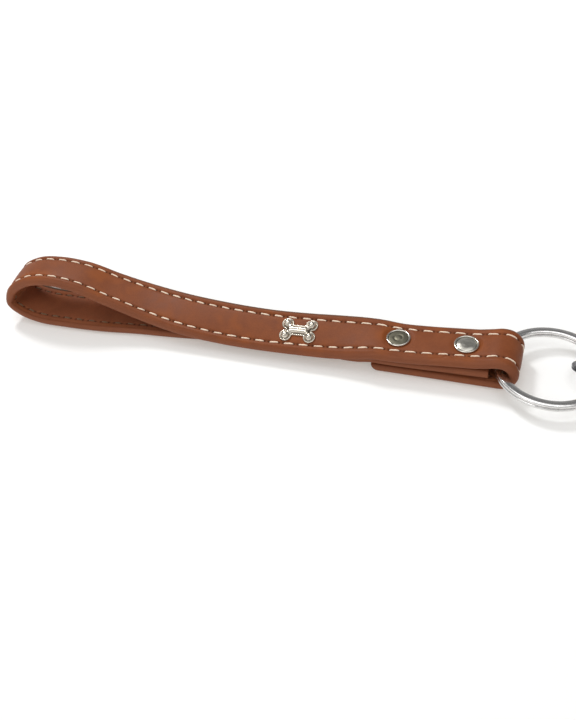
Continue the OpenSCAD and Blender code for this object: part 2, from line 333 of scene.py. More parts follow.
class Nodes:
    """Short names for the shader nodes that the materials use."""

    def __init__(self, tree):
        self.tree = tree

    def add(self, kind, inputs=None, **properties):
        node = self.tree.nodes.new(kind)
        for key, value in properties.items():
            setattr(node, key, value)
        for key, value in (inputs or {}).items():
            if isinstance(value, bpy.types.NodeSocket):
                self.tree.links.new(value, node.inputs[key])
            else:
                node.inputs[key].default_value = value
        return node

    def attribute(self, name, output="Fac"):
        return self.add("ShaderNodeAttribute", attribute_name=name).outputs[output]

    def noise(self, vector, scale, detail=3.0, roughness=0.5, distortion=0.0):
        return self.add("ShaderNodeTexNoise", {
            "Vector": vector, "Scale": scale, "Detail": detail, "Roughness": roughness,
            "Distortion": distortion}).outputs["Fac"]

    def cells(self, vector, scale, feature="F1", output="Distance"):
        return self.add("ShaderNodeTexVoronoi", {"Vector": vector, "Scale": scale},
                        feature=feature).outputs[output]

    def ramp(self, value, low, high, out_low=0.0, out_high=1.0):
        return self.add("ShaderNodeMapRange", {
            "Value": value, "From Min": low, "From Max": high,
            "To Min": out_low, "To Max": out_high}).outputs["Result"]

    def math(self, operation, a, b=0.0):
        return self.add("ShaderNodeMath", {0: a, 1: b}, operation=operation).outputs[0]

    def blend(self, factor, a, b):
        return self.add("ShaderNodeMix", {0: factor, 6: a, 7: b}, data_type="RGBA").outputs[2]

    def bump(self, height, distance, strength=1.0, normal=None):
        inputs = {"Height": height, "Distance": distance, "Strength": strength}
        if normal is not None:
            inputs["Normal"] = normal
        return self.add("ShaderNodeBump", inputs).outputs["Normal"]

    def link(self, value, shader, key):
        self.tree.links.new(value, shader.inputs[key])


def colour(r, g, b):
    """An opaque colour for a socket."""
    return (r, g, b, 1.0)


def leather(name, deep, warm, amber, edge_tone, far_edge_shade, grain, rough):
    """Coated leather: pebble grain, cloudy colour, needle holes darkened with painted shade, a
    paler greyer tone on the rolled edges, and painted shade along the far edge.
    """
    material, n, shader = new_material(name, Specular_IOR_Level=0.13)
    place_on_strap = n.attribute("strap_mm", "Vector")
    hole = n.attribute("hole")
    edge = n.attribute("edge")
    cloud = n.noise(place_on_strap, 0.16, 4.0, 0.55, 0.4)
    fleck = n.noise(place_on_strap, 1.9, 5.0, 0.65)
    pebble = n.cells(place_on_strap, 2.6)
    fibre = n.noise(place_on_strap, 9.0, 3.0, 0.6)
    base = n.blend(n.ramp(cloud, 0.32, 0.68), deep, warm)
    darker = colour(*(c * 0.72 for c in deep[:3]))
    base = n.blend(n.ramp(fleck, 0.35, 0.75, 0.0, 0.45), base, darker)
    wide_cloud = n.noise(place_on_strap, 0.09, 2.0, 0.5)
    base = n.blend(n.ramp(wide_cloud, 0.52, 0.66, 0.0, 0.5), base, amber)
    # The rolled edges take a paler, greyer tone.
    base = n.blend(n.math("MULTIPLY", edge, 0.6), base, edge_tone)
    # Painted shade: from 6.6 mm to 7.8 mm across on the far side, the colour darkens towards the
    # dark far-edge colour.
    far = n.add("ShaderNodeSeparateXYZ", {"Vector": place_on_strap}).outputs["Y"]
    base = n.blend(n.ramp(far, 6.6, 7.8, 0.0, 0.84), base, far_edge_shade)
    # Painted shade: the needle holes are darkened almost to black.
    base = n.blend(n.math("MULTIPLY", hole, 0.82), base, colour(0.022, 0.008, 0.004))
    n.link(base, shader, "Base Color")
    gloss = n.math("ADD", cloud, n.math("MULTIPLY", fleck, 0.6))
    gloss = n.ramp(gloss, 0.5, 1.1, rough - 0.07, rough + 0.1)
    n.link(n.math("MAXIMUM", gloss, n.math("MULTIPLY", hole, 0.9)), shader, "Roughness")
    height = n.math("ADD", n.math("MULTIPLY", pebble, 0.7), n.math("MULTIPLY", fibre, 0.35))
    height = n.math("ADD", height, n.math("MULTIPLY", fleck, 0.6))
    n.link(n.bump(height, grain * MM, 0.55), shader, "Normal")
    return material


def fibre_board(name, light, dark):
    """Pressed fibre board, as it shows at a cut end."""
    material, n, shader = new_material(name, Roughness=0.95, Specular_IOR_Level=0.2)
    where = n.attribute("strap_mm", "Vector")
    fibre = n.noise(where, 5.0, 6.0, 0.75, 1.5)
    n.link(n.blend(n.ramp(fibre, 0.35, 0.65), dark, light), shader, "Base Color")
    n.link(n.bump(fibre, 0.12 * MM), shader, "Normal")
    return material


def thread(name, light, dark):
    """Twisted waxed thread: plies that wind round the stitch, with fuzz in the valleys, which are
    darkened with painted shade.
    """
    material, n, shader = new_material(
        name, Roughness=0.62, Specular_IOR_Level=0.35, Sheen_Weight=0.25, Sheen_Roughness=0.5)
    ply = n.attribute("ply")
    where = n.attribute("strap_mm", "Vector")
    fuzz = n.noise(where, 14.0, 4.0, 0.7)
    crest = n.math("SINE", ply)
    crest = n.math("ADD", n.math("MULTIPLY", crest, 0.5), 0.5)
    # Painted shade: the colour goes towards the dark tone in the valleys between the plies; the
    # fuzz adds random tone.
    tint = n.math("ADD", n.math("MULTIPLY", crest, 0.75), n.math("MULTIPLY", fuzz, 0.45))
    n.link(n.blend(n.ramp(tint, 0.1, 0.8), dark, light), shader, "Base Color")
    height = n.math("ADD", crest, n.math("MULTIPLY", fuzz, 0.5))
    n.link(n.bump(height, 0.07 * MM, 0.8), shader, "Normal")
    return material


def plated(name, bright, dull, rough, scratch, wear):
    """Plated metal: a bright coat, dull with wear, in patina and in painted shade, with fine
    hairline scratches.
    """
    material, n, shader = new_material(name, Metallic=1.0)
    where = n.add("ShaderNodeTexCoord").outputs["Object"]
    wear_and_shade = n.attribute("wear_and_shade")
    cloud = n.noise(where, 420.0, 4.0, 0.6, 0.6)
    stretched = n.add("ShaderNodeMapping", {"Vector": where, "Rotation": (0.4, 0.2, 0.7),
                                            "Scale": (900.0, 9000.0, 2500.0)}).outputs["Vector"]
    hair = n.noise(stretched, 1.0, 2.0, 0.5)
    rub_and_shade = n.math("MULTIPLY", n.ramp(cloud, 0.42, 0.62), wear)
    rub_and_shade = n.math("MAXIMUM", rub_and_shade, wear_and_shade)
    n.link(n.blend(rub_and_shade, bright, dull), shader, "Base Color")
    n.link(n.ramp(n.math("ADD", rub_and_shade, n.math("MULTIPLY", hair, 0.5)), 0.0, 1.4, rough, rough + 0.3),
           shader, "Roughness")
    height = n.math("ADD", hair, n.math("MULTIPLY", cloud, 0.6))
    n.link(n.bump(height, scratch * MM, 0.6), shader, "Normal")
    return material


def paper(name):
    """The pale sheet that the keychain lies on, which gives off a little light of its own."""
    material, n, shader = new_material(
        name, Roughness=0.9, Specular_IOR_Level=0.1,
        Emission_Color=PAPER_GLOW, Emission_Strength=PAPER_GLOW_STRENGTH)
    where = n.add("ShaderNodeTexCoord").outputs["Object"]
    tint = n.noise(where, 3.0, 2.0, 0.4)
    n.link(n.blend(tint, colour(0.70, 0.71, 0.72), colour(0.72, 0.73, 0.74)), shader, "Base Color")
    return material


PAPER_GLOW = colour(1.0, 0.955, 0.87)
PAPER_GLOW_STRENGTH = 0.29

FACE_LEATHER = leather(
    "face_leather", deep=colour(0.198, 0.055, 0.019), warm=colour(0.250, 0.073, 0.025),
    amber=colour(0.290, 0.078, 0.016), edge_tone=colour(0.245, 0.086, 0.044),
    far_edge_shade=colour(0.060, 0.038, 0.017), grain=0.05, rough=0.50)
LINING_LEATHER = leather(
    "lining_leather", deep=colour(0.245, 0.078, 0.034), warm=colour(0.315, 0.102, 0.044),
    amber=colour(0.240, 0.068, 0.018), edge_tone=colour(0.300, 0.100, 0.044),
    far_edge_shade=colour(0.150, 0.050, 0.026), grain=0.07, rough=0.66)
CORE_BOARD = fibre_board("core_board", colour(0.20, 0.10, 0.055), colour(0.10, 0.045, 0.024))
CREAM_THREAD = thread("cream_thread", colour(1.0, 0.86, 0.69), colour(0.92, 0.63, 0.44))
BROWN_THREAD = thread("brown_thread", colour(0.24, 0.13, 0.055), colour(0.06, 0.03, 0.012))
# The dull colour is worn plating and also a painted dark reflection, strongest on the rear disc; it
# also fills the painted shade in the rivet grooves.
WORN_NICKEL = plated(
    "worn_nickel", bright=colour(0.74, 0.71, 0.64), dull=colour(0.145, 0.135, 0.10),
    rough=0.13, scratch=0.008, wear=0.2)
PLAIN_NICKEL = plated(
    "plain_nickel", bright=colour(0.66, 0.65, 0.61), dull=colour(0.42, 0.41, 0.38),
    rough=0.2, scratch=0.006, wear=0.5)
PEWTER = plated(
    "antique_pewter", bright=colour(0.74, 0.68, 0.58), dull=colour(0.045, 0.032, 0.022),
    rough=0.09, scratch=0.006, wear=0.1)
RING_STEEL = plated(
    "ring_steel", bright=colour(0.80, 0.79, 0.78), dull=colour(0.50, 0.48, 0.47),
    rough=0.10, scratch=0.004, wear=0.3)
DARK_STEEL = plated(
    "dark_steel", bright=colour(0.17, 0.17, 0.18), dull=colour(0.05, 0.05, 0.055),
    rough=0.20, scratch=0.006, wear=0.6)


# ---------------------------------------------------------------- the strap
# Creases in the face near the rivets: distance along, across, length, width, angle and depth.
CREASES = [
    (71.0, -6.0, 3.4, 0.32, 30, 0.24), (73.4, -5.9, 2.6, 0.3, -34, 0.22),
    (68.4, -6.6, 4.6, 0.42, 12, 0.17), (76.2, -6.7, 4.2, 0.4, -8, 0.15),
    (62.5, -7.2, 4.6, 0.4, 5, 0.12), (66.0, -7.6, 6.0, 0.35, 2, 0.12),
    (56.5, 7.0, 5.0, 0.5, -5, 0.12), (82.0, 7.1, 5.5, 0.5, 4, 0.12),
    (90.0, -7.0, 5.0, 0.4, 8, 0.10), (99.0, -7.3, 5.0, 0.45, -6, 0.10),
]


def stitch_places(first, length):
    """Where a row's stitches are centred, and where its needle holes are."""
    centres = np.arange(first, strap.length - 3, STITCH_PITCH)
    gap = STITCH_PITCH - length
    holes = np.concatenate([centres - length / 2 - 0.15, centres[-1:] + length / 2 + 0.15])
    return centres, np.concatenate([holes, centres + length / 2 + min(0.15, gap / 2)])


def holes_at(s, u, length):
    """How deep in a needle hole each place on the surface is, from 0 to 1."""
    depth = np.zeros_like(s)
    for side, first in ((-1, NEAR_FIRST), (1, FAR_FIRST)):
        _, holes = stitch_places(first, length)
        holes = np.sort(holes)
        nearest = holes[np.clip(np.searchsorted(holes, s), 1, len(holes) - 1)]
        before = holes[np.clip(np.searchsorted(holes, s) - 1, 0, len(holes) - 1)]
        ds = np.minimum(abs(s - nearest), abs(s - before))
        du = u - side * ROW_GAP / 2
        depth = np.maximum(depth, np.exp(-((ds / 0.42) ** 2 + (du / 0.36) ** 2)))
    return depth


def face_relief(s, u):
    """How far the face stands above or below its flat height."""
    edge_room = smooth_step((HALF_W - abs(u)) / 2.5)
    crown = FACE_CROWN * (1 - (u / 4.8) ** 2) * (abs(u) < 4.8)
    row = np.exp(-((abs(u) - ROW_GAP / 2) / 0.5) ** 2)
    roll = EDGE_ROLL * np.exp(-((abs(u) - 6.5) / 0.6) ** 2)
    relief = crown + roll - ROW_DEPTH * row - HOLE_DEPTH * holes_at(s, u, STITCH_LEN)
    relief = relief + FACE_UNEVEN * ripple(s, u, 5, 7.0) * edge_room
    for at, across, length, width, angle, depth in CREASES:
        a = math.radians(angle)
        p = (s - at) * math.cos(a) + (u - across) * math.sin(a)
        q = (u - across) * math.cos(a) - (s - at) * math.sin(a)
        fold = (q / width) * np.exp(0.5 - (q / width) ** 2)
        relief = relief + depth * fold * np.exp(-(p / length * 1.6) ** 4)
    return relief


def near_rivet(x, y, z):
    """How near each point is to the seat of a rivet's cap, from 0 to 1, and that cap's height."""
    closeness = np.zeros_like(x)
    height = np.zeros_like(x)
    for rivet_x, rivet_y, face_z in (FRONT_RIVET, REAR_RIVET):
        d = np.hypot(x - rivet_x, y - rivet_y)
        c = 1 - smooth_step((d - RIVET_R + 0.2) / 1.7)
        use = (c > closeness) & (z > face_z - 1.5)
        closeness = np.where(use, c, closeness)
        height = np.where(use, face_z, height)
    return closeness, height


def cover_outline():
    """The cover's section as (across, out), round the face and both edges, and back inside."""
    lining_half = LINING_W / 2
    r_face, r_back = 1.85, STRAP_T - 1.85
    face = np.concatenate([
        np.linspace(-HALF_W + r_face, -5.95, 3), np.linspace(-5.75, -4.55, 8),
        np.linspace(-4.1, 4.1, 13), np.linspace(4.55, 5.75, 8),
        np.linspace(5.95, HALF_W - r_face, 3)])
    near = arc(-HALF_W + r_back, -HALF_T + r_back, r_back, 270, 180, 8)
    near += arc(-HALF_W + r_face, HALF_T - r_face, r_face, 180, 90, 13)[1:-1]
    far = [(-a, b) for a, b in reversed(near)]
    core_top = HALF_T - FACE_T
    outside = [(-lining_half, -HALF_T)] + near + [(a, HALF_T) for a in face]
    outside += far + [(lining_half, -HALF_T)]
    return outside + [(lining_half, core_top), (-lining_half, core_top)], len(outside)


def slant(s, out):
    """How far the tail's bevelled end carries a point along the strap."""
    return TAIL_SLANT * (out + HALF_T) / STRAP_T * (1 - smooth_step(s / 9.0))


def strap_tube(name, outline, lengthwise, outward=None):
    """A tube along the strap. outward moves each outside point by its place on the strap."""
    rows, columns = len(lengthwise), len(outline)
    u = np.tile([p[0] for p in outline], (rows, 1))
    v = np.tile([p[1] for p in outline], (rows, 1))
    s = np.tile(lengthwise[:, None], (1, columns))
    extra = np.zeros_like(s) if outward is None else outward(s, u, v)
    points = strap.point(np.minimum(s + slant(s, v), strap.length), u, v + extra)
    faces = grid_faces(rows, columns)
    faces += cap_faces(outline, 0) + cap_faces(outline, (rows - 1) * columns)
    return points, faces, s, u, v


def build_cover():
    """The face leather, wrapped round both edges."""
    outline, outside = cover_outline()
    edge_share = np.array([smooth_step((abs(a) - HALF_W + 1.5) / 1.0) for a, _ in outline])

    def outward(s, u, v):
        on_face = np.zeros_like(s)
        on_face[:, :outside] = smooth_step((v[:, :outside] - HALF_T + 0.9) / 0.9)
        return face_relief(s, u) * on_face

    points, faces, s, u, v = strap_tube("strap_cover_leather", outline, strap.s, outward)
    wobble = EDGE_WOBBLE * ripple(s, 0 * u, 11, 12.0) * smooth_step((abs(u) - 5.9) / 1.5)
    points += strap.across[:, None, :] * (wobble * np.sign(u))[..., None]
    flat = points.reshape(-1, 3)
    closeness, height = near_rivet(flat[:, 0], flat[:, 1], flat[:, 2])
    target = height - SEAT_DEPTH - 0.02
    pressed = flat[:, 2] + (target - flat[:, 2]) * closeness
    flat[:, 2] = np.where(flat[:, 2] > target, pressed, flat[:, 2])
    obj = make_mesh("strap_cover_leather", flat, faces)
    round_edge = np.where(v < HALF_T - 1.0, HALF_T - 1.0 - v, 0)
    on_strap = np.stack([s, u + np.sign(u) * round_edge, v * 0], -1)
    point_values(obj, "strap_mm", on_strap.reshape(-1, 3))
    holes = holes_at(s, u, STITCH_LEN) * (v > HALF_T - 0.5)
    point_values(obj, "hole", holes.ravel())
    point_values(obj, "edge", np.tile(edge_share, (len(s), 1)).ravel())
    return finish_piece(obj, FACE_LEATHER, "strap", ["strap_cover"])


def build_lining():
    """The lining, flush between the cover's two turned edges, with its own needle holes."""
    half = LINING_W / 2 - CLEARANCE
    across = np.concatenate([
        [-half, -half + 0.25], np.linspace(-5.9, -4.5, 9), np.linspace(-3.9, 3.9, 9),
        np.linspace(4.5, 5.9, 9), [half - 0.25, half]])
    back = [(a, -HALF_T) for a in across]
    outline = back + [(half, LINING_T - HALF_T), (-half, LINING_T - HALF_T)]

    def outward(s, u, v):
        on_back = (v < -HALF_T + 0.1).astype(float)
        tuck = smooth_step((abs(u) - half + 0.3) / 0.3)
        relief = 0.14 * tuck + 0.10 * np.exp(-((abs(u) - ROW_GAP / 2) / 0.5) ** 2)
        relief = relief + 0.25 * holes_at(s, u, BACK_LEN) + 0.04 * ripple(s, u, 23, 5.0)
        return relief * on_back

    points, faces, s, u, v = strap_tube("strap_lining_leather", outline, strap.s, outward)
    obj = make_mesh("strap_lining_leather", points.reshape(-1, 3), faces)
    point_values(obj, "strap_mm", np.stack([s, u, v * 0 + 40], -1).reshape(-1, 3))
    point_values(obj, "hole", (holes_at(s, u, BACK_LEN) * (v < -HALF_T + 0.1)).ravel())
    point_values(obj, "edge", np.zeros(s.size))
    return finish_piece(obj, LINING_LEATHER, "strap", ["strap_lining"])


def build_core():
    """The padding between face and lining, which shows only at the strap's two cut ends."""
    half = LINING_W / 2 - CLEARANCE
    low, high = LINING_T - HALF_T + CLEARANCE, HALF_T - FACE_T - CLEARANCE
    outline = [(a, low) for a in np.linspace(-half, half, 14)]
    outline += [(a, high) for a in np.linspace(half, -half, 14)]

    def ragged(s, u, v):
        return 0.03 * ripple(s, u, 31, 0.8)

    points, faces, s, u, v = strap_tube("strap_padding", outline, strap.s[::4], ragged)
    obj = make_mesh("strap_padding", points.reshape(-1, 3), faces)
    point_values(obj, "strap_mm", np.stack([s, u, v], -1).reshape(-1, 3))
    return finish_piece(obj, CORE_BOARD, "strap", ["strap_core"])


# ---------------------------------------------------------------- the stitches
# Each row's name, side, first stitch, stitch length, face (1) or back (-1), material, node, slot.
STITCH_ROWS = [
    ("face_stitches_near", -1, NEAR_FIRST, STITCH_LEN, 1, CREAM_THREAD,
     "face_thread_near", "cream_thread"),
    ("face_stitches_far", 1, FAR_FIRST, STITCH_LEN, 1, CREAM_THREAD,
     "face_thread_far", "cream_thread"),
    ("back_stitches_near", -1, NEAR_FIRST, BACK_LEN, -1, BROWN_THREAD,
     "back_thread_near", "brown_thread"),
    ("back_stitches_far", 1, FAR_FIRST, BACK_LEN, -1, BROWN_THREAD,
     "back_thread_far", "brown_thread"),
]


def build_stitches(name, side, first, length, face, material, node, slot):
    """One row of stitches: short twisted cords that rise out of one needle hole into the next."""
    rng = random.Random(name)
    rings, around = 17, 12
    radius = 0.28 if face > 0 else 0.26
    points, faces, wheres, plies = [], [], [], []
    centres, _ = stitch_places(first, length)
    for s0 in centres:
        reach = length / 2 + rng.uniform(-0.14, 0.1)
        skew = side * 0.08 + rng.uniform(-0.08, 0.08)
        fat = radius * rng.uniform(0.9, 1.08)
        start = len(points)
        for i in range(rings):
            t = -1 + 2 * i / (rings - 1)
            s = s0 + t * reach
            swell = (1 - abs(t) ** 4) ** 0.5 * 0.8 + 0.2
            dive = 0.55 * abs(t) ** 7
            _, across, normal = strap.axes(s)
            sink = 0.1 if face > 0 else 0.02
            out = face * (HALF_T - sink - dive)
            centre = strap.point(s, side * ROW_GAP / 2 + skew * t, out)
            for k in range(around):
                a = 2 * math.pi * k / around
                groove = 1 + 0.08 * math.cos(2 * a + 2.2 * math.pi * t)
                spoke = across * math.cos(a) + 0.8 * normal * math.sin(a)
                points.append(centre + fat * swell * groove * spoke)
                wheres.append((s, side * 5 + math.cos(a), math.sin(a)))
                plies.append(2 * a + 9.5 * math.pi * t)
        faces += grid_faces(rings, around, start)
        faces.append(tuple(range(start, start + around)))
        faces.append(tuple(range(start + (rings - 1) * around, start + rings * around)))
    obj = make_mesh(name, points, faces)
    point_values(obj, "strap_mm", wheres)
    point_values(obj, "ply", plies)
    return finish_piece(obj, material, "strap", [node])


# ---------------------------------------------------------------- rivets
def build_rivet_cap(name, rivet, dome, wear_and_shade, node):
    """A cap: a rolled bright rim, a narrow groove and a centre disc, domed, or flattened by wear.
    """
    x, y, face_z = rivet
    rim_mid, rim_r, disc_r, top = 3.68, 0.34, 3.2, 0.56
    profile = [(0, top + dome)]
    for r in np.linspace(0.35, disc_r, 14):
        ring_dent = -0.09 * math.exp(-((r - 1.3) / 0.35) ** 2) * wear_and_shade
        profile.append((r, top + dome * (1 - (r / disc_r) ** 2) + ring_dent))
    profile += [(disc_r + 0.06, top - 0.10), (disc_r + 0.14, top - 0.16)]
    profile += arc(rim_mid, top - 0.12, rim_r, 165, -30, 16)
    profile += [(rim_mid + 0.28, top - 0.5), (rim_mid + 0.2, -0.12), (0, -0.12)]
    obj = lathe(name, profile)
    dents = random.Random(name)
    spots = [(dents.uniform(-2, 2), dents.uniform(-2, 2), dents.uniform(0.5, 1.1),
              dents.uniform(-0.05, 0.04)) for _ in range(7)]
    values = []
    for vertex in obj.data.vertices:
        px, py, pz = vertex.co / MM
        r = math.hypot(px, py)
        if pz > 0.4 and r < disc_r:
            for sx, sy, width, depth in spots:
                near_spot = math.exp(-((px - sx) ** 2 + (py - sy) ** 2) / width ** 2)
                pz += depth * near_spot * (1 - (r / disc_r) ** 4)
            vertex.co.z = pz * MM
        # Painted shade: the groove between the disc and the rim is darkened to the dull colour. The
        # disc's dulling is wear, and on the rear cap also a painted dark reflection.
        groove = math.exp(-((r - disc_r - 0.12) / 0.1) ** 2)
        values.append(wear_and_shade * (r < disc_r + 0.1) + 0.95 * groove)
    point_values(obj, "wear_and_shade", np.clip(values, 0, 1))
    obj.data.transform(Matrix.Translation(Vector((x, y, face_z - SEAT_DEPTH)) * MM))
    return finish_piece(obj, WORN_NICKEL, "strap", [node])


def build_back_cap(name, rivet, node):
    """The flat cap under the tail, with the post that goes up through the three layers."""
    x, y, face_z = rivet
    post_r, post_top = 1.3, face_z - 0.6
    profile = [(0, 0), (3.4, 0), (3.75, 0.05)] + arc(3.72, 0.3, 0.28, -70, 80, 7)
    profile += [(3.5, BACK_CAP_H - 0.02), (post_r + 0.3, BACK_CAP_H), (post_r, BACK_CAP_H + 0.3)]
    profile += [(post_r, post_top - 0.2), (post_r - 0.2, post_top), (0, post_top)]
    obj = lathe(name, profile, 64)
    point_values(obj, "wear_and_shade", [0.5 * math.exp(-((math.hypot(v.co.x, v.co.y) / MM - 2.4) / 0.5) ** 2)
                               for v in obj.data.vertices])
    obj.data.transform(Matrix.Translation(Vector((x, y, 0)) * MM))
    return finish_piece(obj, PLAIN_NICKEL, "strap", [node])


# ---------------------------------------------------------------- the bone stud
def bone_height(x, y):
    """The cast bone's height, and how far inside its flange's outline each place is."""
    half_span, ball_r, neck_r = BONE_SPAN / 2, 1.52, 0.95
    height, outline = np.full_like(x, -1.0), np.full_like(x, -9.0)
    for lx, ly in ((i * half_span, j * BONE_GAP / 2) for i in (-1, 1) for j in (-1, 1)):
        d = np.hypot(x - lx, y - ly)
        outline = np.maximum(outline, LOBE_R - d)
        ball = 0.30 + 1.12 * np.sqrt(np.clip(ball_r ** 2 - d ** 2, 0, None))
        height = np.maximum(height, np.where(d < ball_r, ball, -1))
        # the neck from the bar's end to the ball
        ax, ay = 0.62 * lx, 0.25 * ly
        length_2 = (lx - ax) ** 2 + (ly - ay) ** 2
        share = np.clip(((x - ax) * (lx - ax) + (y - ay) * (ly - ay)) / length_2, 0, 1)
        off = np.hypot(x - ax - share * (lx - ax), y - ay - share * (ly - ay))
        neck = 0.35 + 1.25 * np.sqrt(np.clip(neck_r ** 2 - off ** 2, 0, None)) * (1 - 0.25 * share)
        height = np.maximum(height, np.where(off < neck_r, neck, -1))
    waist = 1.32 + 0.12 * (x / half_span) ** 2
    bar = 0.45 + 1.35 * np.sqrt(np.clip(1 - (y / waist) ** 2, 0, None))
    on_bar = (abs(y) < waist) & (abs(x) < 0.72 * half_span)
    height = np.maximum(height, np.where(on_bar, bar, -1))
    rail = 2.05 + 0.35 * (x / half_span) ** 4
    outline = np.maximum(outline, np.where(abs(x) < half_span, rail - abs(y), -9))
    bead = 0.42 + 0.34 * np.exp(-((outline - 0.24) / 0.17) ** 2)
    return np.maximum(height, bead), outline


def bone_inset(x, y):
    """How far inside the flange's outline one place is."""
    return bone_height(np.array(x), np.array(y))[1]


def build_bone():
    """The bone: four round lobes and a bar, cast with a beaded flange, sitting on the leather."""
    step = 0.12
    xs = np.arange(-BONE_SPAN / 2 - LOBE_R - 0.3, BONE_SPAN / 2 + LOBE_R + 0.31, step)
    ys = np.arange(-BONE_GAP / 2 - LOBE_R - 0.3, BONE_GAP / 2 + LOBE_R + 0.31, step)
    gx, gy = np.meshgrid(xs, ys, indexing="ij")
    height, outline = bone_height(gx, gy)
    inside = outline > 0
    keep = {}
    points = []

    def corner(i, j):
        if (i, j) not in keep:
            x, y, depth = gx[i, j], gy[i, j], outline[i, j]
            if depth < 0:  # drawn in to the outline
                e = 0.05
                ox = bone_inset(x + e, y) - bone_inset(x - e, y)
                oy = bone_inset(x, y + e) - bone_inset(x, y - e)
                size = math.hypot(ox, oy) + 1e-9
                x, y = x - depth * ox / size, y - depth * oy / size
            keep[i, j] = len(points)
            points.append((x, y, max(0.5, height[i, j]) if depth > 0 else 0.42))
        return keep[i, j]

    faces = []
    for i in range(len(xs) - 1):
        for j in range(len(ys) - 1):
            if inside[i:i + 2, j:j + 2].any():
                faces.append((corner(i, j), corner(i + 1, j),
                              corner(i + 1, j + 1), corner(i, j + 1)))
    obj = make_mesh("bone_stud_cast", points, faces)
    bm = bmesh.new()
    bm.from_mesh(obj.data)
    bmesh.ops.remove_doubles(bm, verts=bm.verts, dist=0.02 * MM)
    bmesh.ops.smooth_vert(bm, verts=[v for v in bm.verts if not v.is_boundary], factor=0.5,
                          use_axis_x=True, use_axis_y=True, use_axis_z=True)
    rim = [e for e in bm.edges if e.is_boundary]
    wall = bmesh.ops.extrude_edge_only(bm, edges=rim)["geom"]
    low = [g for g in wall if isinstance(g, bmesh.types.BMVert)]
    for v in low:
        v.co.z = -0.15 * MM
    bmesh.ops.contextual_create(bm, geom=[e for e in bm.edges if e.is_boundary])
    bmesh.ops.triangulate(bm, faces=[f for f in bm.faces if len(f.verts) > 4])
    bmesh.ops.recalc_face_normals(bm, faces=bm.faces)
    bm.to_mesh(obj.data)
    bm.free()
    for poly in obj.data.polygons:
        poly.use_smooth = True
    values = []
    for vertex in obj.data.vertices:
        x, y, z = vertex.co / MM
        recess = float(smooth_step((bone_inset(x, y) - 0.36) / 0.35))
        recess *= np.clip((1.15 - z) / 0.55, 0, 1)
        values.append(0.95 * max(recess, np.clip((0.4 - z) / 0.2, 0, 1)))
    point_values(obj, "wear_and_shade", values)
    place(obj, BONE_S, HALF_T + 0.02)
    return finish_piece(obj, PEWTER, "strap", ["bone_stud"])


def build_bone_post():
    """The washer that holds the stud, with the post's spread end in its middle."""
    profile = [(0, 0.12), (0.7, 0.08), (1.05, -0.05), (1.25, 0.0), (2.2, 0.02)]
    profile += arc(2.35, 0.2, 0.2, -90, 90, 6) + [(1.0, 0.4), (0, 0.4)]
    obj = lathe("bone_stud_washer", profile, 48)
    point_values(obj, "wear_and_shade", [0.3] * len(obj.data.vertices))
    place(obj, BONE_S, -HALF_T - 0.4)
    return finish_piece(obj, PLAIN_NICKEL, "strap", ["bone_stud_back"])


# ---------------------------------------------------------------- split rings
def build_coil(name, outer_d, wire_w, coil_h, to_frame, material, body, node):
    """A split ring: one rounded wire wound twice, stepping from its upper coil to its lower."""
    r = (outer_d - wire_w) / 2
    level = (coil_h + COIL_GAP) / 2
    steps, around = 420, 24
    points, faces = [], []
    for k in range(steps + 1):
        a = WIRE_START + k * (WIRE_END - WIRE_START) / steps
        f = max(0.0, min(1.0, (a - STEP_START) / (STEP_END - STEP_START)))
        z = level * (1 - 2 * (3 * f ** 2 - 2 * f ** 3))
        end = min(k, steps - k)
        size = 1 - 0.16 * (1 - min(1, end / 3)) ** 2
        c, s = math.cos(math.radians(a)), math.sin(math.radians(a))
        for j in range(around):
            t = 2 * math.pi * j / around
            u = math.copysign(abs(math.cos(t)) ** 0.62, math.cos(t)) * wire_w / 2 * size
            v = math.copysign(abs(math.sin(t)) ** 0.72, math.sin(t)) * coil_h / 2 * size
            points.append(((r + u) * c, (r + u) * s, z + v))
    faces = grid_faces(steps + 1, around)
    faces.append(tuple(range(around)))
    faces.append(tuple(range(steps * around, (steps + 1) * around)))
    obj = make_mesh(name, points, faces)
    point_values(obj, "wear_and_shade", np.zeros(len(points)))
    obj.data.transform(to_frame)
    return finish_piece(obj, material, body, [node])


def turn(degrees, axis):
    """A rotation about one axis of the frame."""
    return Matrix.Rotation(math.radians(degrees), 4, axis)


def shift(x, y, z):
    """A move by millimetres."""
    return Matrix.Translation(Vector((x, y, z)) * MM)


# From the large ring's own middle to where it hangs in the fold.
IN_RING = shift(FOLD_X, 0, FOLD_Z) @ turn(RING_TILT, "Y") @ shift(RING_REACH, 0, 0)


def build_rings():
    """The large ring in the fold, and the small ring round its wire."""
    build_coil("large_ring_wire", RING_D, RING_WIRE_W, RING_COIL_H, IN_RING @ turn(RING_STEP, "Z"),
               RING_STEEL, "key_ring", "split_ring")
    at_wire = turn(SMALL_AT, "Z") @ shift(RING_R + SMALL_IN, 0, SMALL_UP) @ turn(-SMALL_LEAN, "X")
    build_coil("small_ring_wire", SMALL_RING_D, SMALL_WIRE_W, SMALL_COIL_H,
               IN_RING @ at_wire @ turn(SMALL_TURN, "Z"),
               DARK_STEEL, "small_ring", "small_split_ring")


# ---------------------------------------------------------------- floor, light and camera
FLOOR_SIZE = 6.0
CAMERA_TARGET = Vector((-0.0590, -0.0087, 0.0))
CAMERA_DISTANCE = 0.2712
CAMERA_ELEVATION = 43.4
CAMERA_YAW = -25.9
CAMERA_ROLL = -9.9
CAMERA_LENS = 39.0
CAMERA_SENSOR = 36.0
CAMERA_CLIP = (0.01, 20.0)

WORLD_STRENGTH = 0.46
WALL_FOOT, WALL_TOP = 0.30, 0.40  # how high, as a direction's Z, the patchy wall begins
HORIZON_LEVEL = 1.1
CEILING_LEVEL = 2.2
PATCH_DARK, PATCH_LIGHT = 0.22, 0.75
FRONT_LEVEL = 0.75
LIGHT_TARGET = Vector((-0.06, 0, 0))
